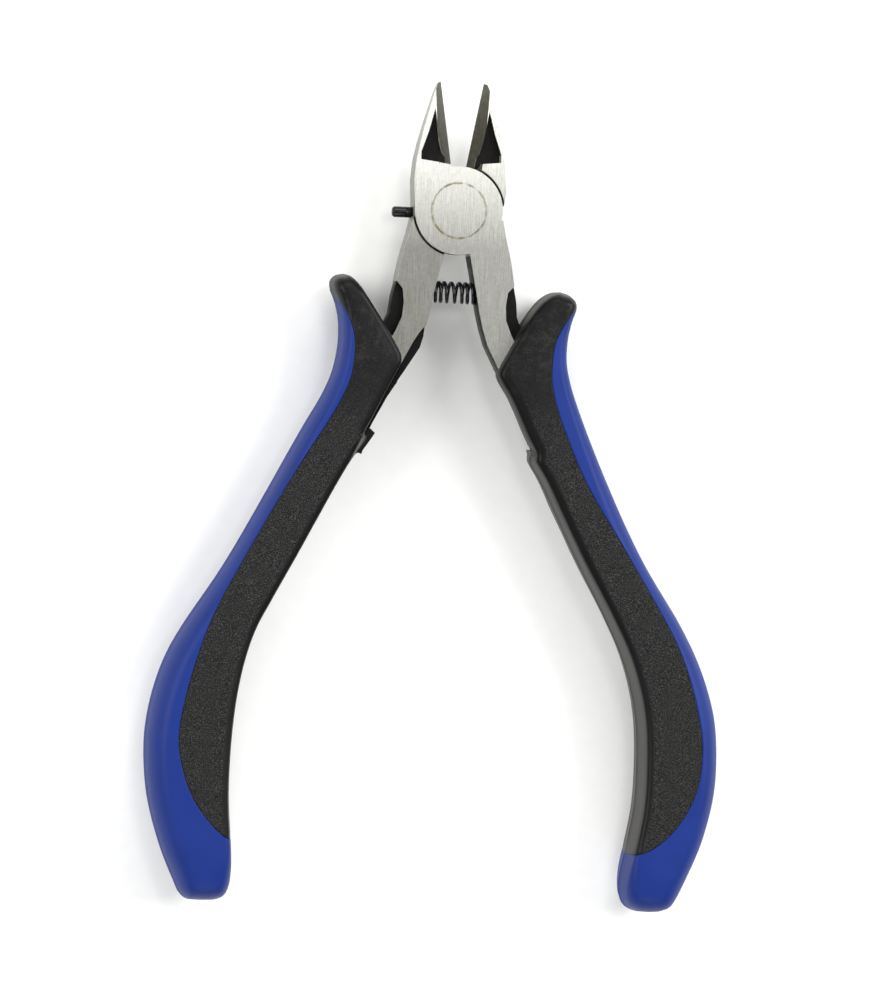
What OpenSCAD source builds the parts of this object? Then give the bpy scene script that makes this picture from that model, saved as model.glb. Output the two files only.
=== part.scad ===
// Small lap-joint diagonal cutting pliers with a coil return spring and two-colour grips.
// Millimetres. The origin is on the pivot axis, in the plane of the ground front face.
// +Y points to the jaw tips, +X to the right and +Z out of the front face.
// The tool is drawn with its jaws open, resting on the stop pin.

/* [Head] */
// Thickness of the ground head
head_t = 6; // [5:0.5:7]
// Radius of the front half's lap disc
front_disc_r = 6.9; // [6.8:0.05:7.2]
// Radius of the rear half's lap disc
rear_disc_r = 6.6; // [6.2:0.1:6.8]
// Gap between the two faces of the lap
lap_gap = 0.05; // [0.02:0.01:0.1]
// Gap between a lap disc and the shoulder around it
shoulder_gap = 0.08; // [0.04:0.01:0.15]
// Angle between the cutting edges when the jaws rest on the stop pin
open_angle = 19; // [14:1:19]

/* [Jaws] */
// Distance from the pivot to the jaw tips
jaw_l = 20.1; // [18:0.1:22]
// Thickness of the jaws at their tips
jaw_tip_t = 2.6; // [2:0.1:4]
// Slope of the ground cutting bevel
bevel_angle = 54; // [45:1:60]
// Gap left between the closed cutting edges
edge_gap = 0.04; // [0.02:0.01:0.1]

/* [Pivot and stop] */
// Radius of the rivet's flush heads
rivet_head_r = 4.3; // [4:0.1:4.6]
// Radius of the rivet's shank
rivet_r = 2.75; // [2.4:0.05:3]
// Running clearance of the front half on the rivet
rivet_clearance = 0.03; // [0.01:0.01:0.08]
// Radius of the stop pin
stop_pin_r = 0.85; // [0.7:0.05:1]
// Distance from the pivot axis to the stop pin's free end
stop_pin_reach = 10; // [9:0.1:11]

/* [Return spring] */
// Outer radius of the coil
spring_r = 1.8; // [1.6:0.05:1.9]
// Diameter of the spring wire
wire_d = 0.45; // [0.4:0.05:0.5]
// Number of turns
spring_turns = 8.5; // [7:0.5:9]
// Depth of the round seats in the tangs
seat_depth = 1.5; // [1:0.1:1.8]

/* [Grips] */
// Thickness of the tang inside the grip
tang_t = 4.4; // [4:0.1:5]
// Thickness of the grip at the palm
grip_t = 15; // [14:0.5:16]
// Width of the blend on the outer side of the grip
outer_blend = 5.5; // [4:0.5:6]
// Radius of the inner edge of the grip
inner_fillet = 1.2; // [0.8:0.1:1.5]
// Slant of the grip's inner wall, as an offset from its parting line
inner_draft = 0.5; // [0.2:0.1:0.8]

/* [Hidden] */
$fn = 96;

drawn_angle = 19;
half_turn = (open_angle - drawn_angle) / 2;
mid_z = -head_t / 2;
big = 60;
eps = 0.01;

// Rivet heads
head_h = 1.3;

// Stop pin, in the middle of the rear lap layer
stop_pin_y = -0.5;
stop_pin_z = -head_t / 4;
stop_pin_root = 4.9;
stop_gap = 0.03;

// Lower ends of the jaws' outer sides. The left one rests on the stop pin
left_shoulder = [[6.95, stop_pin_y + stop_pin_r + stop_gap]];
right_shoulder = [[7.35, 3.2], [7, 1]];
// Distance from the pivot at which the jaws start to get thinner
taper_start = 8;

// Spring line, from seat to seat
spring_y = -12.75;
seat_face_x = 3.3;
seat_r = spring_r + 0.1;
seat_floor_x = seat_face_x + seat_depth;
spring_end_gap = 0.08;

// Grip rows, measured down from the pivot
cap_y = -99;
cover_top_y = -13.8;
tip_y = -11.2;
end_y = -108.8;

// Outer side of the right jaw, from the tip to the shoulder
jaw_side = [[3.9, 19.9], [4.5, 18.2], [5.1, 15.9], [5.8, 13.3], [6.5, 10.3], [7.0, 7.5], [7.2, 4.6]];

// Outline of a tang on the right side: down its outer side, round its end inside the grip, up its bare
// edge in the neck of the grip, and up its inner side to the pivot
tang_outer = [[7.05, -1.2], [7.6, -3.8], [8.6, -7.7], [9.25, -11.4], [9.75, -13.7], [10, -16.3],
    [11, -18.6], [12.4, -20.6], [14, -24], [14.9, -28], [17.4, -35], [22.4, -45], [27.8, -54],
    [32.2, -62], [34.2, -67]];
tang_end = [[33.4, -69], [31.2, -68.4], [28.8, -62], [24.6, -54], [19.2, -45], [15.4, -38.2],
    [14.2, -37.2], [13.2, -36.2], [11.95, -33.5], [9.9, -29.5]];
tang_throat = [[3.35, -12.9], [2.75, -10.1], [2.1, -7], [1.6, -5]];
right_tang_inner = [[8, -25.7], [6.7, -23.3], [5.4, -20.8], [4.6, -18.4], [3.9, -15.75]];
left_tang_inner = [[7.2, -25.2], [5, -21.6], [4.5, -19.8], [4.35, -18.1], [3.9, -15.75]];
// The tang keeps the head's thickness as far as this radius
tang_shoulder_r = 26.5;

// Edge of the ground face beside the forged relief, on the tang's outer side
relief_edge = [[9.3, -11.3], [8.3, -12.5], [8.05, -14.5], [8.2, -16.8], [9.1, -19], [10.6, -21.8]];
relief_depth = 0.9;
// Unground flat on the inner side of the left tang, beside the mouth of the grip
flat_edge = [[4.3, -17.9], [5.4, -19.3], [6.3, -20.8], [7.7, -23.6], [9.5, -27]];
flat_depth = 1.7;

// Dark hollow behind the cutting bevel, in the right jaw
hollow_outline = [[4.25, 15.8], [5.2, 12.1], [6.3, 8.9], [6.3, 7.75], [3.2, 7.4], [2.4, 6.3],
    [1.4, 6.3], [2.2, 8], [2.95, 8.9], [3.5, 11]];
hollow_floor_z = 1.5;
// Corner of the front face that closes the throat between the left hollow and the lap disc
throat_corner = [[-3.4, 7.38], [-1.45, 7.1], [-1.25, 6.7], [-3.4, 5.9]];
// Distance from the pivot at which the cutting bevels start, under the lap discs
bevel_start = 6.3;
// The bevels meet this far past the cutting edge, which leaves it a fine land
edge_land = 0.03;

// Grip outline as [distance along Y, X] on the right side
mouth_line = [[-11.2, 16.7], [-12.2, 15.2], [-18, 11.35], [-24, 8.15]];
inner_line = [[-24, 8.15], [-29.5, 10.2], [-33.5, 12.2], [-36, 13.4], [-36.9, 12.8], [-42, 15.8],
    [-54, 22], [-62, 26.2], [-68.4, 29.2], [-73.3, 30.8], [-78, 31.6], [-86, 32], [-93, 31.8],
    [-100, 31.3], [-104, 30.8], [-107, 31.4], [-108.8, 33.3]];
outer_line = [[-11.2, 17.4], [-11.9, 18.7], [-13.2, 19.4], [-15.5, 18.9], [-19.7, 18.1], [-23, 18.2],
    [-26, 18.8], [-30, 20.2], [-35, 22.8], [-41, 25.8], [-53.5, 32.2], [-63, 38.2], [-68.2, 41.1],
    [-72.6, 43], [-77.2, 44.3], [-82, 45.05], [-88, 45.1], [-93.2, 44.4], [-98.3, 43],
    [-103, 41.2], [-106.5, 39.6], [-108.8, 36.8]];
// Seam between the two plastics, which runs further in on the right grip's upper half
left_seam = [[-13.2, 19.3], [-15.8, 17.6], [-19.8, 15.9], [-23, 15.55], [-27.1, 16.2], [-32.5, 18.7],
    [-40.4, 23.3], [-55.8, 31.6], [-64.7, 36], [-72.8, 38.7], [-80.3, 40.3], [-84, 40.45],
    [-87.2, 40], [-90.2, 39.1], [-93.2, 37.6], [-95.9, 35.7], [-99, 32.6]];
right_seam = [[-13.2, 19.3], [-16.9, 17.2], [-19.3, 16], [-23, 15.4], [-28, 15.7], [-34.5, 18.2],
    [-41.2, 21.3], [-53.4, 29.2], [-62.9, 35.1], [-71.5, 39.1], [-80.8, 41.5], [-84.7, 41.7],
    [-87.7, 41.3], [-91.2, 40.1], [-94.7, 38.2], [-97.4, 35.8], [-99, 33.8]];
half_t_line = [[-11.2, 0.55], [-12.2, 0.72], [-14, 0.8], [-24, 0.84], [-50, 0.9], [-75, 1],
    [-92, 1], [-103, 0.93], [-107, 0.8], [-108.8, 0.55]];

// Smooth curve through a list of points [y, x] that runs down in y
function segment(y, line, i = 0) =
    i >= len(line) - 2 || y >= line[i + 1][0] ? i : segment(y, line, i + 1);
function slope(line, i) =
    let (a = line[max(i - 1, 0)], b = line[min(i + 1, len(line) - 1)])
    (b[1] - a[1]) / (b[0] - a[0]);
function along(y, line) =
    let (i = segment(y, line), a = line[i], b = line[i + 1], step = b[0] - a[0])
    let (t = (y - a[0]) / step, ma = slope(line, i) * step, mb = slope(line, i + 1) * step)
    (2 * t ^ 3 - 3 * t ^ 2 + 1) * a[1] + (t ^ 3 - 2 * t ^ 2 + t) * ma
    + (3 * t ^ 2 - 2 * t ^ 3) * b[1] + (t ^ 3 - t ^ 2) * mb;

// Grip section at one distance along Y
function inner_x(y) = y > inner_line[0][0] ? along(y, mouth_line) : along(y, inner_line);
function outer_x(y) = along(y, outer_line);
function seam_x(y, seam) = y > seam[0][0] ? outer_x(y) : min(along(y, seam), outer_x(y) - 0.3);
function half_t(y) = grip_t / 2 * along(y, half_t_line);
function width(y) = outer_x(y) - inner_x(y);
function blend_w(y) = min(outer_blend, 0.5 * width(y));
function fillet(y) = min(inner_fillet, 0.2 * width(y));
function draft(y) = min(inner_draft, 0.1 * width(y));
function blend_z(y, x) =
    let (flat_x = outer_x(y) - blend_w(y))
    x <= flat_x ? half_t(y) : half_t(y) * sqrt(max(0, 1 - ((x - flat_x) / blend_w(y)) ^ 2));

// Upper half of the section: the inner side up to x_end, and the outer side from x_start
function inner_side(y, x_end) =
    let (x = inner_x(y), h = half_t(y), f = fillet(y), d = draft(y), top_x = x + d + f)
    concat([[x, 0], [x + d, h - f], [x + d + 0.29 * f, h - 0.29 * f]],
        [for (part = [0, 0.5, 0.8, 1])
            let (across = top_x + part * (x_end - top_x)) [across, blend_z(y, across)]]);
function outer_side(y, x_start) =
    let (x = outer_x(y), w = x - x_start)
    [for (part = [0, 0.35, 0.62, 0.82, 0.95]) [x_start + part * w, blend_z(y, x_start + part * w)],
        [x, 0]];
function mirrored(points) = [for (i = [len(points) - 1:-1:0]) [points[i][0], -points[i][1]]];

function body_section(y, seam) =
    let (upper = inner_side(y, seam_x(y, seam)))
    concat(upper, [for (p = mirrored(upper)) if (p[1] < -eps) p]);
function cover_section(y, seam) =
    let (upper = outer_side(y, seam_x(y, seam)))
    concat(upper, [for (p = mirrored(upper)) if (p[1] < -eps) p]);
function cap_section(y) =
    let (middle_x = (inner_x(y) + outer_x(y)) / 2, inner = inner_side(y, middle_x))
    let (outer = outer_side(y, middle_x), upper = concat(inner, [for (i = [1:5]) outer[i]]))
    concat(upper, [for (p = mirrored(upper)) if (p[1] < -eps) p]);

// Solid through a list of sections, each a list of [x, z] at its own y
module loft(ys, sections) {
    count = len(sections[0]);
    rings = len(sections);
    points = [for (k = [0:rings - 1]) for (p = sections[k]) [p[0], ys[k], p[1]]];
    sides = [for (k = [0:rings - 2]) for (i = [0:count - 1])
        let (j = (i + 1) % count, a = k * count, b = a + count)
        each [[a + i, a + j, b + j], [a + i, b + j, b + i]]];
    first = [for (i = [count - 1:-1:0]) i];
    last = [for (i = [0:count - 1]) (rings - 1) * count + i];
    polyhedron(points, concat([first], sides, [last]));
}

// Layers of the head
module front_layer() {
    translate([0, 0, mid_z + lap_gap / 2])
        linear_extrude(head_t / 2 - lap_gap / 2) children();
}

module rear_layer() {
    translate([0, 0, -head_t])
        linear_extrude(head_t / 2 - lap_gap / 2) children();
}

module whole_layer() {
    translate([0, 0, -head_t])
        linear_extrude(head_t) children();
}

// A jaw on the right side, from its cutting edge out to its side and down to its shoulder
module jaw_outline(shoulder) {
    function edge_x(y) = y * tan(drawn_angle / 2) + edge_gap / 2;
    low_y = shoulder[len(shoulder) - 1][1];
    polygon(concat([[edge_x(low_y), low_y], [edge_x(jaw_l), jaw_l]], jaw_side, shoulder));
}

module tang_outline(inner) {
    polygon(concat([[0, -1.2]], tang_outer, tang_end, inner, tang_throat, [[0, -4]]));
}

// Material to take off each face of a jaw: thickness taper, cutting bevel and hollow
module jaw_cuts(slope_sign) {
    taper = atan((head_t - jaw_tip_t) / 2 / (jaw_l - taper_start));
    translate([0, taper_start, slope_sign * head_t / 2])
        rotate([-slope_sign * taper, 0, 0])
            translate([-big / 2, 0, slope_sign > 0 ? 0 : -big])
                cube([big, big, big]);
    rotate(-drawn_angle / 2)
        translate([edge_gap / 2 - edge_land, bevel_start, 0])
            rotate([0, -slope_sign * bevel_angle, 0])
                translate([0, 0, slope_sign > 0 ? 0 : -big])
                    cube([big, big, big]);
    translate([0, 0, slope_sign > 0 ? hollow_floor_z : -hollow_floor_z - big])
        linear_extrude(big) polygon(hollow_outline);
}

// The same recess of some depth in both faces of the head
module both_faces(depth) {
    for (z = [-big - head_t + depth, -depth])
        translate([0, 0, z]) linear_extrude(big) children();
}

// Forged recesses on the outer side of a tang
module relief_cuts() {
    out_x = 20;
    last = relief_edge[len(relief_edge) - 1];
    both_faces(relief_depth)
        polygon(concat(relief_edge, [[out_x, last[1]], [out_x, relief_edge[0][1]]]));
}

// Unground flats on the inner side of the left tang
module flat_cuts() {
    last = flat_edge[len(flat_edge) - 1];
    both_faces(flat_depth)
        polygon(concat(flat_edge, [[0, last[1]], [0, flat_edge[0][1]]]));
}

// Tang at full thickness near the head and thinner inside the grip
module tang_solid(inner) {
    intersection() {
        whole_layer() tang_outline(inner);
        translate([0, 0, -head_t]) cylinder(r = tang_shoulder_r, h = head_t);
    }
    translate([0, 0, mid_z - tang_t / 2])
        linear_extrude(tang_t) difference() {
            tang_outline(inner);
            circle(r = tang_shoulder_r - eps);
        }
}

module spring_seat() {
    translate([seat_face_x - 1, spring_y, mid_z])
        rotate([0, 90, 0]) cylinder(r = seat_r, h = seat_depth + 1);
}

// Rivet solid, grown by a clearance on its shank and under its front head
module rivet_solid(clearance) {
    translate([0, 0, mid_z]) {
        cylinder(r = rivet_r + clearance, h = head_t, center = true);
        translate([0, 0, head_t / 2 - head_h - clearance])
            cylinder(r1 = rivet_r + clearance, r2 = rivet_head_r + clearance, h = head_h + clearance);
        translate([0, 0, -head_t / 2])
            cylinder(r1 = rivet_head_r, r2 = rivet_r, h = head_h);
    }
}

module stop_pin_solid() {
    translate([-stop_pin_reach, stop_pin_y, mid_z + stop_pin_z])
        rotate([0, 90, 0]) {
            translate([0, 0, 0.3])
                cylinder(r = stop_pin_r, h = stop_pin_reach - stop_pin_root - 0.3);
            cylinder(r1 = stop_pin_r - 0.3, r2 = stop_pin_r, h = 0.3);
        }
}

// A jaw with its cuts, on the right side
module jaw(shoulder) {
    difference() {
        whole_layer() jaw_outline(shoulder);
        translate([0, 0, mid_z]) for (s = [-1, 1]) jaw_cuts(s);
    }
}

// A tang with its spring seat and reliefs, on the right side
module tang(inner) {
    difference() {
        tang_solid(inner);
        spring_seat();
        relief_cuts();
    }
}

// Left jaw, lap disc in the front layer and right tang, in one forging
module front_half() color("silver") {
    rear_disc_room = rear_disc_r + shoulder_gap;
    difference() {
        union() {
            front_layer() {
                circle(r = front_disc_r);
                polygon(throat_corner);
            }
            difference() {
                rotate(half_turn) {
                    mirror([1, 0, 0]) jaw(left_shoulder);
                    tang(right_tang_inner);
                }
                translate([0, 0, mid_z + lap_gap / 2 - big])
                    cylinder(r = rear_disc_room, h = big);
            }
        }
        rivet_solid(rivet_clearance);
    }
}

// Right jaw, lap disc in the rear layer and left tang, in one forging
module rear_half() color("gainsboro") {
    front_disc_room = front_disc_r + shoulder_gap;
    difference() {
        union() {
            rear_layer() circle(r = rear_disc_r);
            difference() {
                rotate(-half_turn) {
                    jaw(right_shoulder);
                    mirror([1, 0, 0]) difference() {
                        tang(left_tang_inner);
                        flat_cuts();
                    }
                }
                translate([0, 0, mid_z - lap_gap / 2])
                    cylinder(r = front_disc_room, h = big);
            }
        }
        rivet_solid(0);
        stop_pin_solid();
    }
}

module pivot_rivet() color("lightgray") {
    rivet_solid(0);
}

module stop_pin() color("dimgray") {
    stop_pin_solid();
}

// Compression coil between the two seats, swept along a helix
module return_spring() color("black") {
    turn_steps = 18;
    sides = 6;
    steps = floor(spring_turns * turn_steps);
    span = 2 * (seat_floor_x - spring_end_gap) - wire_d;
    coil_r = spring_r - wire_d / 2;
    points = [for (k = [0:steps]) for (i = [0:sides - 1])
        let (turn = 360 * k / turn_steps, around = 360 * i / sides)
        let (r = coil_r + wire_d / 2 * cos(around))
        [-span / 2 + span * k / steps + wire_d / 2 * sin(around),
            spring_y + r * cos(turn), mid_z + r * sin(turn)]];
    walls = [for (k = [0:steps - 1]) for (i = [0:sides - 1])
        let (j = (i + 1) % sides, a = k * sides, b = a + sides)
        each [[a + i, b + j, a + j], [a + i, b + i, b + j]]];
    polyhedron(points, concat([[for (i = [0:sides - 1]) i]], walls,
        [[for (i = [sides - 1:-1:0]) steps * sides + i]]));
}

// Black inner part of a grip, moulded onto the tang, on the right side
module grip_body(seam, tang_inner) {
    ys = concat([tip_y, -11.5, -12, -12.7, -13.5], [for (y = [-15:-3:-21]) y], [-24],
        [for (y = [-27:-3:-33]) y], [-36, -36.8], [for (y = [-41:-4:-93]) y], [-96, cap_y]);
    difference() {
        translate([0, 0, mid_z]) loft(ys, [for (y = ys) body_section(y, seam)]);
        tang_solid(tang_inner);
    }
}

// Blue outer part of a grip, with the whole end cap, on the right side
module grip_cover(seam) {
    side_ys = concat([cover_top_y], [for (y = [-15:-3:-36]) y], [for (y = [-41:-4:-93]) y],
        [-96, cap_y]);
    cap_ys = [cap_y, -101, -103, -105, -106.5, -107.6, -108.4, end_y];
    translate([0, 0, mid_z]) {
        loft(side_ys, [for (y = side_ys) cover_section(y, seam)]);
        loft(cap_ys, [for (y = cap_ys) cap_section(y)]);
    }
}

module left_grip_body() color("#2c2c2c") rotate(-half_turn) mirror([1, 0, 0])
    grip_body(left_seam, left_tang_inner);

module left_grip_cover() color("#2a3f97") rotate(-half_turn) mirror([1, 0, 0]) grip_cover(left_seam);

module right_grip_body() color("#2c2c2c") rotate(half_turn)
    grip_body(right_seam, right_tang_inner);

module right_grip_cover() color("#2a3f97") rotate(half_turn) grip_cover(right_seam);

front_half();
rear_half();
pivot_rivet();
stop_pin();
return_spring();
left_grip_body();
left_grip_cover();
right_grip_body();
right_grip_cover();
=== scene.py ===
"""Looks of a small pair of diagonal cutting pliers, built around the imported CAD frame.

Lists and lengths are in millimetres in the CAD frame. The origin is on the pivot axis in the plane of the
ground front face, +Y points to the jaw tips, +X to the right and +Z out of the front face.
"""
import math

import bmesh
import bpy
import numpy as np
from mathutils import Matrix, Vector

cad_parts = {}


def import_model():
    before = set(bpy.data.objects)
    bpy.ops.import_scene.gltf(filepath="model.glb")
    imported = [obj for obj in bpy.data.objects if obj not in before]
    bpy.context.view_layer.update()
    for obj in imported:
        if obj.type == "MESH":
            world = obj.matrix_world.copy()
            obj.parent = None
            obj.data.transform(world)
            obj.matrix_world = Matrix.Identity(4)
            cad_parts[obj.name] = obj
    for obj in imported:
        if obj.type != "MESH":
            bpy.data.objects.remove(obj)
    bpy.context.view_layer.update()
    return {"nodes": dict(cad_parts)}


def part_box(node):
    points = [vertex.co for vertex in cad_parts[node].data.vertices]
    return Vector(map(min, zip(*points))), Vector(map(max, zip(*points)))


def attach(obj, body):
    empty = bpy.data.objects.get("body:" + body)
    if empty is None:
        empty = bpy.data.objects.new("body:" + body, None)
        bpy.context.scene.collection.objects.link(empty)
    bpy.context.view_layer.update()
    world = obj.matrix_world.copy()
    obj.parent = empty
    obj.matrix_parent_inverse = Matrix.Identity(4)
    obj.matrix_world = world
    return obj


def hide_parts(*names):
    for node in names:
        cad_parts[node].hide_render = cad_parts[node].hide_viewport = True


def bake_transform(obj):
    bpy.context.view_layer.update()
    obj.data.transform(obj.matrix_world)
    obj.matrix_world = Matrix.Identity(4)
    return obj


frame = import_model()

MM = 0.001
MID_Z = -3.0
HEAD_HALF_T = 3.0
RIVET_R = 4.3
LAP_GAP_R = 7.0

# ---------------------------------------------------------------- grip outlines, as (x, y) on the right side

# "bare" runs behind the side of the tang where the plastic leaves it uncovered, and "lean" is how far the
# inner wall leans in at each y

RIGHT = {
    "side": 1,
    "body": "front_arm",
    "bare": [(7.6, -24.5), (8.25, -25.7), (10.15, -29.5), (12.2, -33.5), (13.45, -36.2), (14.1, -36.9)],
    "lean": [(-14.0, 0.4), (-25.0, 0.15), (-37.7, 0.1), (-38.2, 0.3), (-39.5, 0.4), (-46.0, 0.3),
             (-55.0, 0.4), (-66.0, 0.6), (-100.0, 0.6)],
    "inner": [(16.9, -11.9), (15.4, -12.1), (14.0, -12.9), (12.7, -14.3), (10.4, -18.1), (8.6, -21.6),
              (7.4, -24.1), (7.1, -25.2), (7.4, -26.2), (9.3, -29.2), (12.0, -34.7), (13.5, -37.7),
              (13.2, -38.2), (13.3, -38.9), (15.2, -42.0), (21.1, -53.4), (26.2, -62.6), (29.2, -68.7),
              (31.0, -74.0), (32.0, -79.0), (32.4, -85.0), (32.3, -92.0), (31.4, -98.0), (30.5, -103.0),
              (30.5, -106.0), (31.3, -107.7), (33.0, -108.6), (35.2, -108.8)],
    "outer": [(16.9, -11.9), (18.3, -12.3), (19.2, -13.1), (19.5, -14.4), (18.8, -16.8), (18.3, -19.7),
              (18.3, -22.9), (19.0, -26.0), (20.5, -30.1), (25.4, -41.0), (31.9, -53.5), (38.3, -63.3),
              (41.0, -68.2), (43.0, -73.0), (44.4, -78.0), (45.0, -84.0), (44.8, -90.0), (43.2, -97.5),
              (41.1, -103.0), (39.6, -106.4), (38.6, -107.9), (37.3, -108.6), (35.2, -108.8)],
    "seam": [(19.5, -14.0), (18.5, -15.2), (17.1, -17.0), (15.9, -19.5), (15.4, -22.5), (15.5, -26.5),
             (16.7, -30.9), (18.3, -34.8), (21.3, -41.2), (29.2, -53.5), (35.1, -62.9), (37.3, -67.0),
             (39.2, -71.8), (40.7, -77.0), (41.6, -82.0), (41.3, -87.7), (40.2, -91.2), (38.2, -94.7),
             (35.7, -97.4), (33.4, -98.9), (31.0, -99.6)],
}
LEFT = {
    "side": -1,
    "body": "rear_arm",
    "bare": [(8.2, -24.2), (8.9, -25.9), (10.7, -29.5), (12.6, -33.5), (13.2, -34.8)],
    "lean": [(-14.0, 0.4), (-25.0, 0.35), (-35.2, 0.46), (-35.8, 1.23), (-36.6, 1.3), (-38.0, 0.95),
             (-39.6, 0.55), (-100.0, 0.6)],
    "inner": [(17.4, -10.6), (16.2, -10.9), (14.9, -12.0), (13.7, -13.6), (11.0, -17.6), (9.0, -20.7),
              (7.9, -22.9), (7.9, -24.2), (8.7, -26.0), (10.4, -29.5), (12.2, -33.4), (13.0, -35.2),
              (12.5, -35.8), (12.8, -36.6), (14.9, -39.6), (22.9, -55.2), (26.4, -62.0), (28.6, -66.5),
              (30.0, -71.0), (30.9, -75.6), (31.5, -81.0), (31.8, -88.0), (31.7, -93.5), (31.2, -99.0),
              (30.9, -104.0), (31.2, -107.0), (32.0, -108.5), (33.6, -109.1), (35.5, -109.2)],
    "outer": [(17.4, -10.6), (18.7, -10.9), (19.5, -11.8), (19.4, -13.0), (18.6, -15.0), (18.0, -17.2),
              (17.75, -19.9), (17.9, -22.7), (18.5, -25.8), (19.8, -29.2), (22.9, -35.0), (33.9, -56.2),
              (40.2, -66.4), (42.4, -70.6), (43.9, -74.8), (45.0, -79.8), (45.4, -85.0), (44.6, -93.0),
              (42.2, -101.0), (39.9, -106.2), (39.0, -108.0), (37.8, -109.0), (35.5, -109.2)],
    "seam": [(19.4, -13.2), (18.7, -14.4), (17.5, -16.0), (16.5, -17.9), (15.8, -20.5), (15.7, -23.2),
             (16.3, -27.2), (18.7, -32.5), (23.4, -40.4), (31.7, -55.8), (36.0, -64.6), (38.6, -72.5),
             (40.2, -80.0), (40.5, -84.0), (40.0, -87.2), (39.1, -90.2), (37.6, -93.3), (35.6, -96.0),
             (33.4, -98.2), (31.1, -99.5)],
}
# Half thickness of a grip at a distance below the pivot
HALF_T = [(-10.5, 5.0), (-13.5, 5.8), (-24.0, 6.3), (-50.0, 6.8), (-75.0, 7.5), (-92.0, 7.5), (-103.0, 7.2),
          (-109.2, 6.4)]
# How much lower its sides are than its middle
CROWN = 0.3

# Edge of a grip: how far the side wall leans in, then how far the rounding runs inward and drops
INNER_EDGE_TOP = [(-10.5, 0.3, 1.1, 1.6)]
INNER_EDGE_END = [(-104.0, 0.5, 1.8, 2.0), (-109.2, 0.35, 2.6, 4.0)]
INNER_ROUNDING = (0.75, 0.85)
OUTER_EDGE = [(-10.5, 0.3, 1.5, 2.8), (-14.0, 0.3, 1.4, 2.6), (-24.0, 0.3, 1.5, 3.2), (-45.0, 0.3, 2.5, 4.6),
              (-75.0, 0.3, 3.2, 5.5), (-95.0, 0.3, 3.2, 5.5), (-105.0, 0.35, 3.0, 5.0),
              (-109.2, 0.35, 2.6, 4.0)]
# Columns of the grip meshes, as distances in from a boundary. The first two of the inner ones make the
# moulding seam, which stands a little proud of the wall
FLASH_HALF_W = 0.12
INNER_COLUMNS = [-0.05, 0, 0.15, 0.3, 0.45, 0.6, 0.66, 0.84, 1.0, 1.2, 1.45, 1.8, 2.3]
OUTER_COLUMNS = [0, 0.1, 0.2, 0.3, 0.34, 0.42, 0.56, 0.78, 1.1, 1.5, 2.0, 2.7, 3.6]
SEAM_COLUMNS = [0, 0.02, 0.05, 0.08, 0.12, 0.16, 0.22, 0.3, 0.4, 0.52, 0.68, 0.88, 1.15]
# How far the plastic stands above the tang where its side is bare, and stays behind that side on the back
BARE_LIP = 0.03
BACK_TUCK = 0.75
# Groove between the black and the blue plastic
GROOVE_W = 0.16
GROOVE_D = 0.13

# Fin of flash at the step of the left grip
FLASH_OUTLINE = [(13.6, -33.8), (12.1, -34.5), (11.3, -35.2), (11.7, -35.9), (13.1, -38.0), (13.3, -38.6),
                 (13.8, -38.4), (14.6, -38.8)]


# ---------------------------------------------------------------- curves and grip surface

def smooth_line(points, per_span=8):
    """Centripetal Catmull-Rom curve through points."""
    p = np.array(points, float)
    p = np.vstack([2 * p[0] - p[1], p, 2 * p[-1] - p[-2]])
    knots = np.concatenate([[0], np.cumsum(np.sqrt(np.linalg.norm(np.diff(p, axis=0), axis=1)))])
    line = []
    for i in range(1, len(p) - 2):
        t0, t1, t2, t3 = knots[i - 1:i + 3]
        t = np.linspace(t1, t2, per_span, endpoint=False)[:, None]
        a1 = (t1 - t) / (t1 - t0) * p[i - 1] + (t - t0) / (t1 - t0) * p[i]
        a2 = (t2 - t) / (t2 - t1) * p[i] + (t - t1) / (t2 - t1) * p[i + 1]
        a3 = (t3 - t) / (t3 - t2) * p[i + 1] + (t - t2) / (t3 - t2) * p[i + 2]
        b1 = (t2 - t) / (t2 - t0) * a1 + (t - t0) / (t2 - t0) * a2
        b2 = (t3 - t) / (t3 - t1) * a2 + (t - t1) / (t3 - t1) * a3
        line.append((t2 - t) / (t2 - t1) * b1 + (t - t1) / (t2 - t1) * b2)
    return np.vstack(line + [p[-2:-1]])


def table(rows, y):
    """Columns of a table whose first column runs down in y, each looked up at y."""
    rows = np.array(rows, float)[::-1]
    return [np.interp(y, rows[:, 0], rows[:, k]) for k in range(1, rows.shape[1])]


def x_at(line, y):
    """Where a line that runs down in y has the height y."""
    order = np.argsort(line[:, 1], kind="stable")
    return np.interp(y, line[order, 1], line[order, 0])


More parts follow.
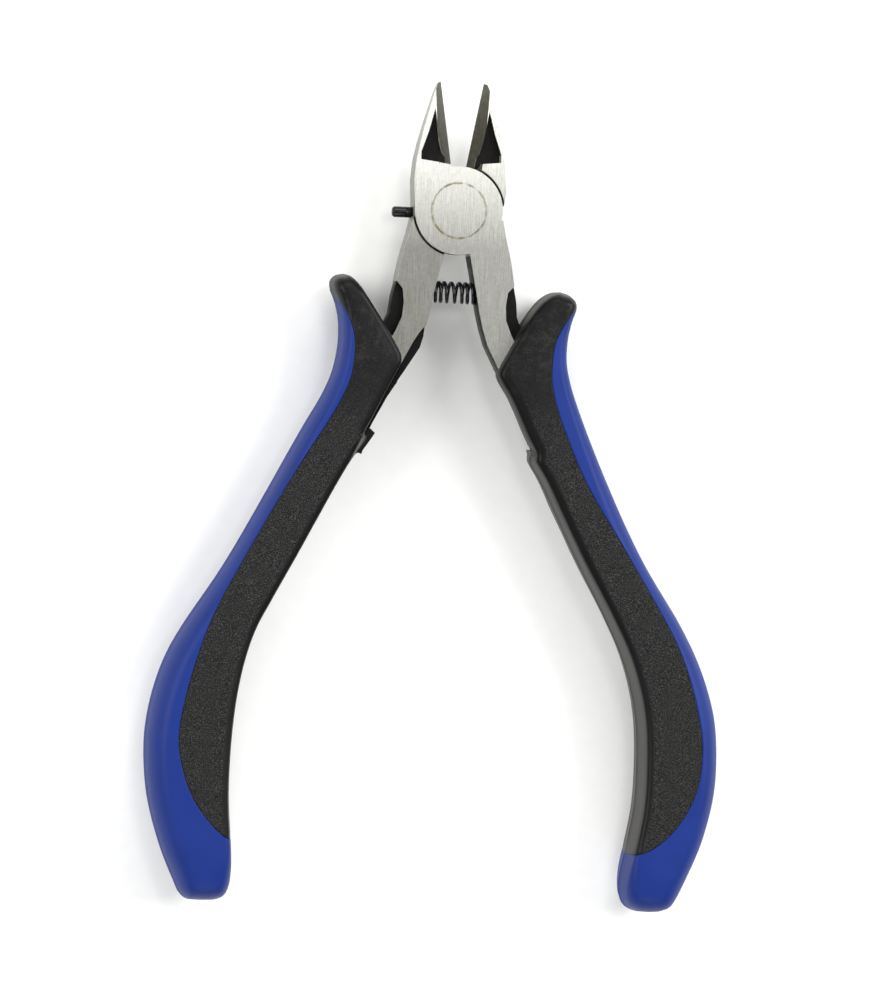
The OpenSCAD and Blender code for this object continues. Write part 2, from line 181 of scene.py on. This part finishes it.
class Grip:
    """The moulded shape of one grip, from its outlines seen from the front."""

    def __init__(self, spec):
        self.side = spec["side"]
        self.body = spec["body"]
        self.inner = smooth_line(spec["inner"])
        self.outer = smooth_line(spec["outer"])
        self.seam = smooth_line(spec["seam"])
        self.bare = np.array(spec["bare"])
        self.top_y = self.inner[0, 1]
        self.end_y = self.inner[-1, 1]
        self.seam_top_y = self.seam[0, 1]
        self.seam_end_y = self.seam[-1, 1]
        self.ring = np.vstack([self.outer[:-1], self.inner[::-1]])
        wall = [(y, lean, *INNER_ROUNDING) for y, lean in spec["lean"]]
        inner_edge = INNER_EDGE_TOP + wall + INNER_EDGE_END
        self.edges = np.vstack([np.array(table(rows, line[:, 1])).T for line, rows in
                                ((self.outer[:-1], OUTER_EDGE), (self.inner[::-1], inner_edge))])

    def half_t(self, x, y):
        """Half thickness of the middle of the grip, a little crowned across."""
        xi, xo = x_at(self.inner, y), x_at(self.outer, y)
        across = np.clip((x - xi) / np.maximum(xo - xi, 0.1), 0, 1)
        return table(HALF_T, y)[0] - CROWN * (2 * across - 1) ** 2

    def height(self, x, y):
        """Height of the surface above the middle plane, rounded off towards every edge."""
        x, y = np.asarray(x, float), np.asarray(y, float)
        h = self.half_t(x, y)
        z = h.copy()
        starts, steps = self.ring[:-1], np.diff(self.ring, axis=0)
        for a, step, e0, e1 in zip(starts, steps, self.edges[:-1], self.edges[1:]):
            t = np.clip(((x - a[0]) * step[0] + (y - a[1]) * step[1]) / (step @ step + 1e-12), 0, 1)
            d = np.hypot(x - a[0] - t * step[0], y - a[1] - t * step[1])
            lean, run, drop = (e0[k] + t * (e1[k] - e0[k]) for k in range(3))
            wall = (h - drop) * np.minimum(d / lean, 1)
            arc = drop * np.sqrt(1 - (1 - np.clip((d - lean) / run, 0, 1)) ** 2)
            z = np.minimum(z, wall + arc)
        return z

    def distance_to(self, line, x, y):
        """Distance from each point to one of the outlines."""
        d = np.full(len(x), 1e9)
        for a, b in zip(line[:-1], line[1:]):
            step = b - a
            t = np.clip(((x - a[0]) * step[0] + (y - a[1]) * step[1]) / (step @ step + 1e-12), 0, 1)
            d = np.minimum(d, np.hypot(x - a[0] - t * step[0], y - a[1] - t * step[1]))
        return d


def slant(line, y):
    """How much longer a level offset is than the same distance square to the line."""
    step = 0.15
    lean = (x_at(line, y + step) - x_at(line, y - step)) / (2 * step)
    return np.minimum(np.sqrt(1 + lean ** 2), 2.5)


def row_ys(top, end, pitch=0.45, crowd=2.6):
    """Rows from top to end, crowded together towards both ends."""
    ramp = [0, 0.04, 0.1, 0.2, 0.34, 0.52, 0.74, 1.0]
    near_top = [top - crowd * r for r in ramp]
    near_end = [end + crowd * r for r in ramp[::-1]]
    count = int((near_top[-1] - near_end[0]) / pitch)
    middle = np.linspace(near_top[-1], near_end[0], count)[1:-1]
    return np.concatenate([near_top, middle, near_end])


def columns(width, left, right, left_slant, right_slant, middle=14):
    """Offsets across one row: fine columns next to both sides and even ones between."""
    left = np.array(left) * left_slant
    right = np.array(right) * right_slant
    room = 0.46 * width
    left = left * min(1, room / left[-1])
    right = right * min(1, room / right[-1])
    between = np.linspace(left[-1], width - right[-1], middle + 2)[1:-1]
    return np.concatenate([left, between, width - right[::-1]])


def mirrored_shell(name, grip, ys, rows):
    """Closed mesh from rows of points on the grip's surface, mirrored in the middle plane.

    A row is the x values, the depth of the groove, the least height, the greatest height, and the shift of
    the back side at each. Where the first or last column doesn't come down to the middle plane, a wall
    joins the front and the back."""
    xs, dips, least, most, shifts = (np.array([r[k] for r in rows]) for k in range(5))
    count = xs.shape[1]
    heights = grip.height(xs.ravel(), np.repeat(ys, count)).reshape(xs.shape)
    zs = np.minimum(np.maximum(heights - dips, least), most)
    bm = bmesh.new()
    grids = []
    for sign, side_xs in ((1, xs), (-1, xs + shifts)):
        grids.append([[bm.verts.new((grip.side * x * MM, y * MM, (MID_Z + sign * z) * MM))
                       for x, z in zip(row_x, row_z)] for y, row_x, row_z in zip(ys, side_xs, zs)])
    for grid in grids:
        for j in range(len(ys) - 1):
            for i in range(count - 1):
                bm.faces.new((grid[j][i], grid[j][i + 1], grid[j + 1][i + 1], grid[j + 1][i]))
    for i in (0, -1):
        for j in range(len(ys) - 1):
            if max(zs[j, i], zs[j + 1, i]) > 0:
                bm.faces.new((grids[0][j][i], grids[0][j + 1][i], grids[1][j + 1][i], grids[1][j][i]))
    bmesh.ops.remove_doubles(bm, verts=bm.verts, dist=0.004 * MM)
    bmesh.ops.dissolve_degenerate(bm, edges=bm.edges, dist=0.002 * MM)
    bmesh.ops.recalc_face_normals(bm, faces=bm.faces)
    return finish_mesh(name, bm)


def finish_mesh(name, bm, sharp_angle=38):
    """Turns a bmesh into a smooth shaded object, with its sharp edges kept."""
    mesh = bpy.data.meshes.new(name)
    bm.to_mesh(mesh)
    bm.free()
    mesh.shade_smooth()
    mesh.set_sharp_from_angle(angle=math.radians(sharp_angle))
    obj = bpy.data.objects.new(name, mesh)
    bpy.context.scene.collection.objects.link(obj)
    return obj


def groove(distance):
    """How far the surface dips towards a seam."""
    return GROOVE_D * np.clip(1 - distance / GROOVE_W, 0, 1) ** 1.5


def free_row(count):
    """Least heights, greatest heights and back shifts of a row that is free to follow the surface."""
    return np.zeros(count), np.full(count, np.inf), np.zeros(count)


def flash(least, most, width):
    """Holds the first two columns of a row to the moulding seam, which fades where the grip ends."""
    least[:2] = most[:2] = (0, FLASH_HALF_W * min(1, width / 3))


def grip_body(name, grip):
    """Black part: from the inner side to the seam, with the whole tip of the horn."""
    def row(y):
        y = np.clip(y, grip.seam_end_y + 1e-4, grip.top_y)
        left = x_at(grip.inner, y)
        on_seam = y < grip.seam_top_y
        line = grip.seam if on_seam else grip.outer
        width = max(x_at(line, y) - left, 0)
        side = SEAM_COLUMNS if on_seam else OUTER_COLUMNS
        offsets = columns(width, INNER_COLUMNS, side, slant(grip.inner, y), slant(line, y))
        least, most, shifts = free_row(len(offsets))
        xs = left + offsets
        if bare_end < y < bare_top:
            xs[:2] = (x_at(grip.bare, y), left)
            least[:] = HEAD_HALF_T + BARE_LIP
            most[:2] = least[:2]
            shifts[:] = BACK_TUCK * np.clip(1 - offsets / 4, 0, 1)
            shifts[0] = 0
        else:
            flash(least, most, width)
        if not on_seam:
            most[-1] = 0
        return xs, groove(width - offsets) * on_seam, least, most, shifts
    bare_top, bare_end = grip.bare[0, 1], grip.bare[-1, 1]
    ys = np.unique(np.concatenate([row_ys(grip.top_y, grip.seam_end_y),
                                   [y + s for y in (bare_top, bare_end) for s in (-0.02, 0.02)],
                                   np.linspace(grip.seam_top_y + 0.3, grip.seam_top_y - 2.5, 14)]))[::-1]
    return mirrored_shell(name, grip, ys, [row(y) for y in ys])


def grip_cover(name, grip):
    """Blue part: from the seam to the outer side, with the whole lower end."""
    def row(y):
        on_seam = y > grip.seam_end_y
        line = grip.seam if on_seam else grip.inner
        left = x_at(line, y)
        width = max(x_at(grip.outer, y) - left, 0)
        side = SEAM_COLUMNS if on_seam else INNER_COLUMNS
        offsets = columns(width, side, OUTER_COLUMNS, slant(line, y), slant(grip.outer, y))
        least, most, shifts = free_row(len(offsets))
        most[-1] = 0
        if not on_seam:
            flash(least, most, width)
        return left + offsets, groove(offsets) * on_seam, least, most, shifts
    ys = np.unique(np.concatenate([row_ys(grip.seam_top_y, grip.end_y),
                                   np.linspace(grip.seam_end_y + 1.2, grip.seam_end_y - 1.2, 16)]))[::-1]
    return mirrored_shell(name, grip, ys, [row(y) for y in ys])


def mould_flash(name, side, outline, half_t):
    """Thin fin of plastic in the middle plane."""
    bm = bmesh.new()
    front, back = ([bm.verts.new((side * x * MM, y * MM, (MID_Z + z) * MM)) for x, y in outline]
                   for z in (half_t, -half_t))
    bm.faces.new(front)
    bm.faces.new(back)
    for i in range(len(outline)):
        bm.faces.new((front[i - 1], front[i], back[i], back[i - 1]))
    bmesh.ops.recalc_face_normals(bm, faces=bm.faces)
    bmesh.ops.bevel(bm, geom=bm.edges[:], offset=0.04 * MM, segments=1, affect="EDGES")
    return finish_mesh(name, bm)


def paint(obj, name, values):
    """Stores one number per vertex for the material."""
    attribute = obj.data.attributes.new(name, "FLOAT", "POINT")
    attribute.data.foreach_set("value", np.asarray(values, np.float32))


def vertex_mm(obj):
    """Places of all vertices in millimetres."""
    co = np.zeros(len(obj.data.vertices) * 3)
    obj.data.vertices.foreach_get("co", co)
    return co.reshape(-1, 3) / MM


def ease(value, low, high):
    """Smooth step from zero at one value to one at another."""
    t = np.clip((value - low) / (high - low), 0, 1)
    return t * t * (3 - 2 * t)


def paint_body(obj, grip):
    """Grain on the flat faces away from the edges, wear on the horn, and painted reflected light on the inner
    wall.
    """
    x, y, z = vertex_mm(obj).T
    x = x * grip.side
    inward = grip.distance_to(grip.inner, x, y)
    depth = np.abs(z - MID_Z) / np.maximum(grip.half_t(x, y), 1)
    grain = ease(inward, 1.3, 1.8) * ease(depth, 0.85, 0.95)
    grain *= 0.25 + 0.75 * ease(-y, 26, 40)
    paint(obj, "grain", grain * ease(-y, 15, 19))
    paint(obj, "wear", ease(-y, 12, 16) * (1 - ease(-y, 20, 32)) * ease(depth, 0.8, 0.95))
    # Painted reflected light: marks the inner wall, which the material paints paler
    paint(obj, "wall", (inward < 1.0) * (1 - ease(depth, 0.7, 0.84)))


# ---------------------------------------------------------------- materials

class Shader:
    """A small helper that adds nodes to one material."""

    def __init__(self, name, **sockets):
        self.material = bpy.data.materials.new(name)
        self.material.use_nodes = True
        self.tree = self.material.node_tree
        self.bsdf = self.tree.nodes["Principled BSDF"]
        self.set(self.bsdf, sockets)

    def set(self, node, values):
        """Gives sockets, by name or number, a plain value or a link."""
        for key, value in values.items():
            socket = node.inputs[key.replace("_", " ")] if isinstance(key, str) else node.inputs[key]
            if isinstance(value, bpy.types.NodeSocket):
                self.tree.links.new(value, socket)
            else:
                socket.default_value = value

    def node(self, kind, values=(), **attributes):
        made = self.tree.nodes.new("ShaderNode" + kind)
        for key, value in attributes.items():
            setattr(made, key, value)
        self.set(made, dict(values))
        return made

    def coords(self, scale=(1, 1, 1)):
        where = self.node("TexCoord").outputs["Object"]
        return self.node("Mapping", {"Vector": where, "Scale": scale}).outputs[0]

    def noise(self, scale, detail=3, stretch=(1, 1, 1), rough=0.5):
        """Noise of a scale per metre, which a stretch multiplies along each axis."""
        values = {"Vector": self.coords(stretch), "Scale": scale, "Detail": detail, "Roughness": rough}
        return self.node("TexNoise", values).outputs["Fac"]

    def cells(self, scale, smooth=0.6):
        values = {"Vector": self.coords(), "Scale": scale, "Smoothness": smooth}
        return self.node("TexVoronoi", values, feature="SMOOTH_F1").outputs["Distance"]

    def ramp(self, value, low, high, out_low=0.0, out_high=1.0):
        """Straight ramp between two values, level outside them."""
        values = {0: value, 1: low, 2: high, 3: out_low, 4: out_high}
        return self.node("MapRange", values, clamp=True).outputs[0]

    def math(self, operation, a, b=0.0):
        return self.node("Math", {0: a, 1: b}, operation=operation).outputs[0]

    def attribute(self, name):
        return self.node("Attribute", attribute_name=name).outputs["Fac"]

    def separate(self, vector):
        return self.node("SeparateXYZ", {"Vector": vector}).outputs

    def ring(self, radius, half_width):
        """One at a radius from the pivot axis, down to nothing half a width away."""
        flat = self.coords((1, 1, 0))
        distance = self.node("VectorMath", {0: flat}, operation="LENGTH").outputs["Value"]
        away = self.math("ABSOLUTE", self.math("SUBTRACT", distance, radius * MM))
        return self.ramp(away, 0.0, half_width * MM, 1.0, 0.0)

    def mix(self, share, a, b, blend="MIX"):
        made = self.node("Mix", data_type="RGBA", blend_type=blend)
        self.set(made, {0: share, 6: a, 7: b})
        return made.outputs[2]

    def bump(self, height, distance, strength=1.0):
        """Adds a relief, with its depth in millimetres, on top of those already there."""
        values = {"Height": height, "Distance": distance * MM, "Strength": strength}
        if self.bsdf.inputs["Normal"].is_linked:
            values["Normal"] = self.bsdf.inputs["Normal"].links[0].from_socket
        self.set(self.bsdf, {"Normal": self.node("Bump", values).outputs[0]})


def rgb(red, green, blue):
    """Linear colour of a colour given in display values from 0 to 255."""
    linear = [((c / 255 + 0.055) / 1.055) ** 2.4 if c > 10 else c / 255 / 12.92 for c in (red, green, blue)]
    return (*linear, 1.0)


def brushed(shader, light, dark, roughness):
    """Fine grinding lines that run along Y, with uneven patches and small dark pits. Returns the colour."""
    lines = shader.noise(1, 4, (9000, 180, 9000), 0.7)
    hairs = shader.noise(1, 2, (26000, 700, 26000), 0.6)
    patches = shader.noise(1300, 5, rough=0.7)
    pits = shader.ramp(shader.noise(5200, 3), 0.59, 0.65, 0.0, 0.35)
    streak = shader.math("MULTIPLY", shader.ramp(lines, 0.32, 0.68), shader.ramp(hairs, 0.25, 0.75, 0.3, 1.0))
    cloud = shader.ramp(patches, 0.35, 0.65, 0.0, 0.18)
    tone = shader.math("ADD", shader.math("MULTIPLY", streak, 0.82), cloud)
    color = shader.mix(pits, shader.mix(tone, dark, light), rgb(96, 94, 84))
    shader.set(shader.bsdf, {"Base Color": color,
                             "Roughness": shader.ramp(patches, 0.3, 0.7, roughness, roughness + 0.1)})
    shader.bump(lines, 0.008, 0.6)
    shader.bump(hairs, 0.004, 0.6)
    shader.bump(patches, 0.006, 0.3)
    return color


def head_and_tang(shader, dark, tang_painted_shade):
    """Ground face with painted shade from the jaws down to the tang, and the brown ring of dried oil at the
    rivet.
    """
    white = rgb(255, 255, 252)
    color = brushed(shader, white, dark, 0.34)
    # Painted shade: the faces go from white at the jaws to the darker tang colour below
    height = shader.separate(shader.coords())[1]
    painted_shade = shader.mix(shader.ramp(height, -0.006, 0.01), tang_painted_shade, white)
    color = shader.mix(1.0, color, painted_shade, "MULTIPLY")
    blotches = shader.ramp(shader.noise(900, 4), 0.38, 0.62)
    oil = shader.math("MULTIPLY", shader.ring(RIVET_R, 0.3), blotches)
    color = shader.mix(oil, color, rgb(108, 92, 46))
    edge = shader.math("MULTIPLY", shader.ring(RIVET_R, 0.06), 0.45)
    color = shader.mix(edge, color, rgb(84, 76, 52))
    shader.set(shader.bsdf, {"Base Color": color})
    return color


def ground_steel():
    """Ground faces of the front half and the rivet."""
    shader = Shader("ground_steel", Metallic=1.0)
    # Painted shade: the second colour darkens the tang
    head_and_tang(shader, rgb(184, 184, 178), rgb(176, 176, 173))
    return shader.material


def rear_steel_painted_shade():
    """Ground faces of the rear half, painted darker as shade, with a painted shadow round the other half's
    disc.
    """
    shader = Shader("rear_steel_painted_shade", Metallic=1.0)
    # Painted shade: darker colours than the front half, on the faces and the tang
    color = head_and_tang(shader, rgb(174, 174, 168), rgb(158, 157, 153))
    # Painted shadow: a dark ring where the step round the front half's disc throws shade
    painted_gap_shadow = shader.ramp(shader.ring(LAP_GAP_R, 0.35), 0.0, 0.5)
    shader.set(shader.bsdf, {"Base Color": shader.mix(painted_gap_shadow, color, rgb(14, 13, 12))})
    return shader.material


def side_steel():
    """Outer sides of the head and the jaws, darker than the faces."""
    shader = Shader("side_steel", Metallic=1.0)
    brushed(shader, rgb(190, 189, 183), rgb(112, 110, 103), 0.4)
    return shader.material


def bevel_steel():
    """Cutting bevels, darker than the faces."""
    shader = Shader("bevel_steel", Metallic=0.9)
    brushed(shader, rgb(114, 113, 102), rgb(68, 66, 57), 0.36)
    return shader.material


def dark_forging():
    """Unground forging skin, nearly black with brown scale, paler below the ridge of the forging."""
    shader = Shader("dark_forging", Metallic=0.2)
    scale = shader.noise(1500, 5)
    upper = shader.mix(shader.ramp(scale, 0.4, 0.7), rgb(4, 4, 4), rgb(18, 15, 13))
    lower = shader.mix(shader.ramp(scale, 0.35, 0.65), rgb(60, 58, 52), rgb(92, 89, 80))
    _, height, level = shader.separate(shader.coords())
    below = shader.ramp(level, -0.0033, -0.0029, 1.0, 0.0)
    tang = shader.ramp(height, -0.009, -0.0085, 1.0, 0.0)
    shader.set(shader.bsdf, {"Base Color": shader.mix(shader.math("MULTIPLY", below, tang), upper, lower),
                             "Specular_IOR_Level": 0.15,
                             "Roughness": shader.ramp(scale, 0.3, 0.7, 0.45, 0.65)})
    shader.bump(scale, 0.05, 0.5)
    return shader.material


def black_oxide():
    """Oiled black skin of the spring wire and the stop pin."""
    shader = Shader("black_oxide", Metallic=0.6)
    scale = shader.noise(3500, 3)
    shader.set(shader.bsdf, {"Base Color": shader.mix(scale, rgb(14, 15, 16), rgb(34, 35, 36)),
                             "Roughness": shader.ramp(scale, 0.3, 0.7, 0.2, 0.32)})
    shader.bump(scale, 0.01, 0.3)
    return shader.material


def black_grip():
    """Hard black plastic with a fine leather grain, pale wear and a painted reflection on the inner wall."""
    shader = Shader("black_grip", Specular_IOR_Level=0.14)
    grain = shader.attribute("grain")
    wear = shader.attribute("wear")
    beads = shader.cells(5200)
    fine = shader.noise(6500, 3, rough=0.6)
    height = shader.math("ADD", beads, fine)
    speck = shader.math("MULTIPLY", shader.ramp(fine, 0.5, 0.7), grain)
    # Painted reflected light: the inner wall is painted paler than the smooth black faces
    smooth = shader.mix(shader.attribute("wall"), rgb(9, 9, 9), rgb(46, 45, 41))
    base = shader.mix(speck, smooth, rgb(72, 72, 70))
    scuffs = shader.noise(700, 8, rough=0.8)
    scuff = shader.math("MULTIPLY", shader.ramp(scuffs, 0.5, 0.75, 0.0, 0.2), wear)
    shader.set(shader.bsdf, {"Base Color": shader.mix(scuff, base, rgb(96, 94, 90)),
                             "Roughness": shader.ramp(grain, 0.0, 1.0, 0.4, 0.5)})
    shader.bump(shader.math("MULTIPLY", height, grain), 0.12, 0.9)
    shader.bump(shader.noise(5200, 2), 0.006, 0.3)
    return shader.material


def blue_grip():
    """Soft blue rubber with a satin skin."""
    shader = Shader("blue_grip", Specular_IOR_Level=0.16)
    cloud = shader.noise(110, 3)
    pores = shader.noise(7000, 2)
    color = shader.mix(shader.ramp(cloud, 0.35, 0.65), rgb(15, 37, 104), rgb(18, 41, 110))
    shader.set(shader.bsdf, {"Base Color": color,
                             "Roughness": shader.ramp(cloud, 0.3, 0.7, 0.46, 0.54)})
    shader.bump(pores, 0.008, 0.35)
    return shader.material


def paper():
    """White paper with a faint fibre."""
    shader = Shader("paper", Roughness=0.85)
    fibre = shader.noise(500, 4)
    shader.set(shader.bsdf, {"Base Color": shader.mix(fibre, rgb(232, 232, 230), rgb(238, 238, 236))})
    shader.bump(fibre, 0.03, 0.2)
    return shader.material


GROUND = ground_steel()
REAR_PAINTED_SHADE = rear_steel_painted_shade()
SIDE = side_steel()
BEVEL = bevel_steel()
DARK = dark_forging()
OXIDE = black_oxide()
BLACK = black_grip()
BLUE = blue_grip()


# ---------------------------------------------------------------- steel parts

# Faces larger than this are flat ones, and smaller ones are broken edges or strips of a round side
FLAT_AREA = 1.2
# Finishes of a forged half, in the order of its material slots
GROUND_SLOT, BEVEL_SLOT, DARK_SLOT, SIDE_SLOT = range(4)
# Lower ends of the bevel and the hollow of a jaw, and where the throat, the tang and its unground part begin
BEVEL_Y = 6.0
HOLLOW_Y = 6.2
THROAT_Y = -5.0
TANG_Y = -7.4
UNGROUND_Y = -11.2
# The floor of a recess lies between these distances from the middle plane
RECESS_DEPTHS = (0.1, 2.3)


def softened_copy(node, name, width, keep_sharp=lambda a, b: False):
    """A copy of a CAD node with its flat faces joined and its edges slightly broken."""
    bm = bmesh.new()
    bm.from_mesh(frame["nodes"][node].data)
    bmesh.ops.remove_doubles(bm, verts=bm.verts, dist=0.03 * MM)
    bmesh.ops.dissolve_limit(bm, angle_limit=math.radians(0.4), verts=bm.verts, edges=bm.edges)
    edges = [e for e in bm.edges if e.is_manifold and e.calc_face_angle() > math.radians(24)
             and not keep_sharp(*(v.co / MM for v in e.verts))]
    bmesh.ops.bevel(bm, geom=edges, offset=width * MM, segments=2, profile=0.5, affect="EDGES",
                    clamp_overlap=True)
    bmesh.ops.recalc_face_normals(bm, faces=bm.faces)
    obj = finish_mesh(name, bm, 30)
    obj.data.materials.clear()
    for face in obj.data.polygons:
        face.use_smooth = face.area < FLAT_AREA * MM ** 2
    return obj


def is_cutting_edge(a, b):
    """Whether both ends of an edge lie on the sharp line of a jaw."""
    return all(p.y > HOLLOW_Y and abs(p.z - MID_Z) < 0.12 and abs(p.x) < 4.2 for p in (a, b))


def finish_slot(centre, normal, tang_side):
    """Material slot of a face of a forged half, from its place and the way it faces."""
    level = abs(normal.z)
    upright = level < 0.3
    outward = normal.x * centre.x > 0
    if upright and outward and abs(centre.x) > 3.5 and centre.y > UNGROUND_Y:
        return SIDE_SLOT
    if level > 0.97:
        recessed = level > 0.9999 and RECESS_DEPTHS[0] < abs(centre.z - MID_Z) < RECESS_DEPTHS[1]
        return DARK_SLOT if recessed else GROUND_SLOT
    if 0.5 < level < 0.7 and centre.y > BEVEL_Y:
        return BEVEL_SLOT
    if centre.y > HOLLOW_Y:
        hollow = abs(centre.x) < 6.2 and abs(normal.x) > 0.2 and not outward
        return DARK_SLOT if hollow else GROUND_SLOT
    if upright and normal.y < -0.6 and TANG_Y < centre.y < THROAT_Y:
        return DARK_SLOT
    if centre.y < TANG_Y and (normal.x * tang_side < 0 or centre.y < UNGROUND_Y):
        return DARK_SLOT
    return GROUND_SLOT


def forged_half(node, name, tang_side, ground):
    """A forging with all its finishes. Its tang lies on the side given as 1 or -1."""
    obj = softened_copy(node, name, 0.07, is_cutting_edge)
    for material in (ground, BEVEL, DARK, SIDE):
        obj.data.materials.append(material)
    for face in obj.data.polygons:
        face.material_index = finish_slot(face.center / MM, face.normal, tang_side)
    return obj


def place(obj, body, slot, *nodes, material=None):
    """Gives a piece its material and body and hides the CAD nodes that it stands for. The slot is not used.
    """
    if material is not None:
        obj.data.materials.append(material)
    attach(obj, body)
    if nodes:
        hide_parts(*nodes)
    return obj


def return_spring():
    """Wire coil swept as a round tube, with its turns a little unevenly spaced."""
    low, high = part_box("return_spring")
    low, high = low / MM, high / MM
    wire_r = 0.28
    coil_r = (high.z - low.z) / 2 - wire_r
    axis_y = (low.y + high.y) / 2
    turns, per_turn, sides = 8.5, 40, 10
    unevenness = 0.018
    start, end = low.x + wire_r, high.x - wire_r
    bm = bmesh.new()
    rings = []
    for k in range(int(turns * per_turn) + 1):
        share = k / (turns * per_turn)
        angle = 2 * math.pi * turns * share
        x = start + (end - start) * (share + unevenness * math.sin(4 * math.pi * share))
        out = Vector((0, math.cos(angle), math.sin(angle)))
        ring = []
        for i in range(sides):
            around = 2 * math.pi * i / sides
            centre = Vector((x, axis_y, MID_Z)) + out * coil_r
            point = centre + out * (wire_r * math.cos(around)) + Vector((wire_r * math.sin(around), 0, 0))
            ring.append(bm.verts.new(point * MM))
        rings.append(ring)
    for a, b in zip(rings[:-1], rings[1:]):
        for i in range(sides):
            bm.faces.new((a[i], a[(i + 1) % sides], b[(i + 1) % sides], b[i]))
    bm.faces.new(rings[0])
    bm.faces.new(rings[-1])
    bmesh.ops.recalc_face_normals(bm, faces=bm.faces)
    obj = finish_mesh("spring_coil", bm)
    obj.data.materials.append(OXIDE)
    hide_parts("return_spring")
    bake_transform(obj)


place(forged_half("front_half", "front_half_steel", 1, GROUND), "front_arm", "ground_steel", "front_half")
place(forged_half("rear_half", "rear_half_steel", -1, REAR_PAINTED_SHADE), "rear_arm", "ground_steel", "rear_half")
place(softened_copy("pivot_rivet", "rivet_head", 0.05), "rear_arm", "rivet_steel", "pivot_rivet",
      material=GROUND)
place(softened_copy("stop_pin", "stop_rod", 0.06), "rear_arm", "black_oxide_steel", "stop_pin",
      material=OXIDE)
return_spring()

for label, spec in (("left", LEFT), ("right", RIGHT)):
    grip = Grip(spec)
    body = grip_body(label + "_grip_black", grip)
    paint_body(body, grip)
    place(body, grip.body, "black_grip", label + "_grip_body", material=BLACK)
    cover = grip_cover(label + "_grip_blue", grip)
    place(cover, grip.body, "blue_grip", label + "_grip_cover", material=BLUE)

fin = mould_flash("left_mould_flash", -1, FLASH_OUTLINE, FLASH_HALF_W)
place(fin, "rear_arm", "black_grip", material=BLACK)


# ---------------------------------------------------------------- floor, lights and camera

def floor():
    """Sheet of white paper under the grips."""
    size = 1.5
    mesh = bpy.data.meshes.new("paper_floor")
    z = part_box("left_grip_cover")[0].z
    corners = [(-size, -size, z), (size, -size, z), (size, size, z), (-size, size, z)]
    mesh.from_pydata(corners, [], [(0, 1, 2, 3)])
    obj = bpy.data.objects.new("paper_floor", mesh)
    obj.data.materials.append(paper())
    bpy.context.scene.collection.objects.link(obj)


def area_light(name, place_at, size, watts, aim=(0, -0.045, 0)):
    data = bpy.data.lights.new(name, "AREA")
    data.shape = "DISK"
    data.size = size
    data.energy = watts
    obj = bpy.data.objects.new(name, data)
    obj.location = place_at
    obj.rotation_mode = "QUATERNION"
    obj.rotation_quaternion = (Vector(aim) - Vector(place_at)).to_track_quat("-Z", "Y")
    bpy.context.scene.collection.objects.link(obj)


def camera():
    """Camera at the height of a copy stand, a little to the left of the tool."""
    aim = Vector((0.285, -45.23, MID_Z)) * MM
    left, up, roll, distance = -0.1258, 0.0211, -0.0449, 0.9
    back = Vector((math.sin(left), math.sin(up), 0))
    back.z = math.sqrt(1 - back.x ** 2 - back.y ** 2)
    forward = -back
    right = forward.cross(Vector((math.sin(roll), math.cos(roll), 0))).normalized()
    above = right.cross(forward)
    data = bpy.data.cameras.new("camera")
    data.sensor_width = 36.0
    data.lens = 206.9
    data.clip_start, data.clip_end = 0.05, 10
    obj = bpy.data.objects.new("camera", data)
    obj.location = aim + back * distance
    turn = np.array([right, above, back]).T
    obj.rotation_mode = "QUATERNION"
    obj.rotation_quaternion = Matrix(turn.tolist()).to_quaternion()
    bpy.context.scene.collection.objects.link(obj)
    bpy.context.scene.camera = obj


def world(strength):
    data = bpy.data.worlds.new("studio")
    data.use_nodes = True
    back = data.node_tree.nodes["Background"]
    back.inputs["Color"].default_value = (1, 1, 1, 1)
    back.inputs["Strength"].default_value = strength
    bpy.context.scene.world = data


floor()
world(0.2)
area_light("key", (0.9, 0.35, 0.75), 0.9, 19)
area_light("fill_left", (-0.95, 0.15, 0.75), 0.9, 13.5)
area_light("fill_top", (0.0, 1.0, 0.8), 0.8, 8)
area_light("fill_bottom", (0.0, -1.0, 0.7), 0.8, 5.5)
area_light("kicker", (0.095, 0.1, 0.74), 0.12, 0.6)
camera()
bpy.context.scene.view_settings.view_transform = "Standard"
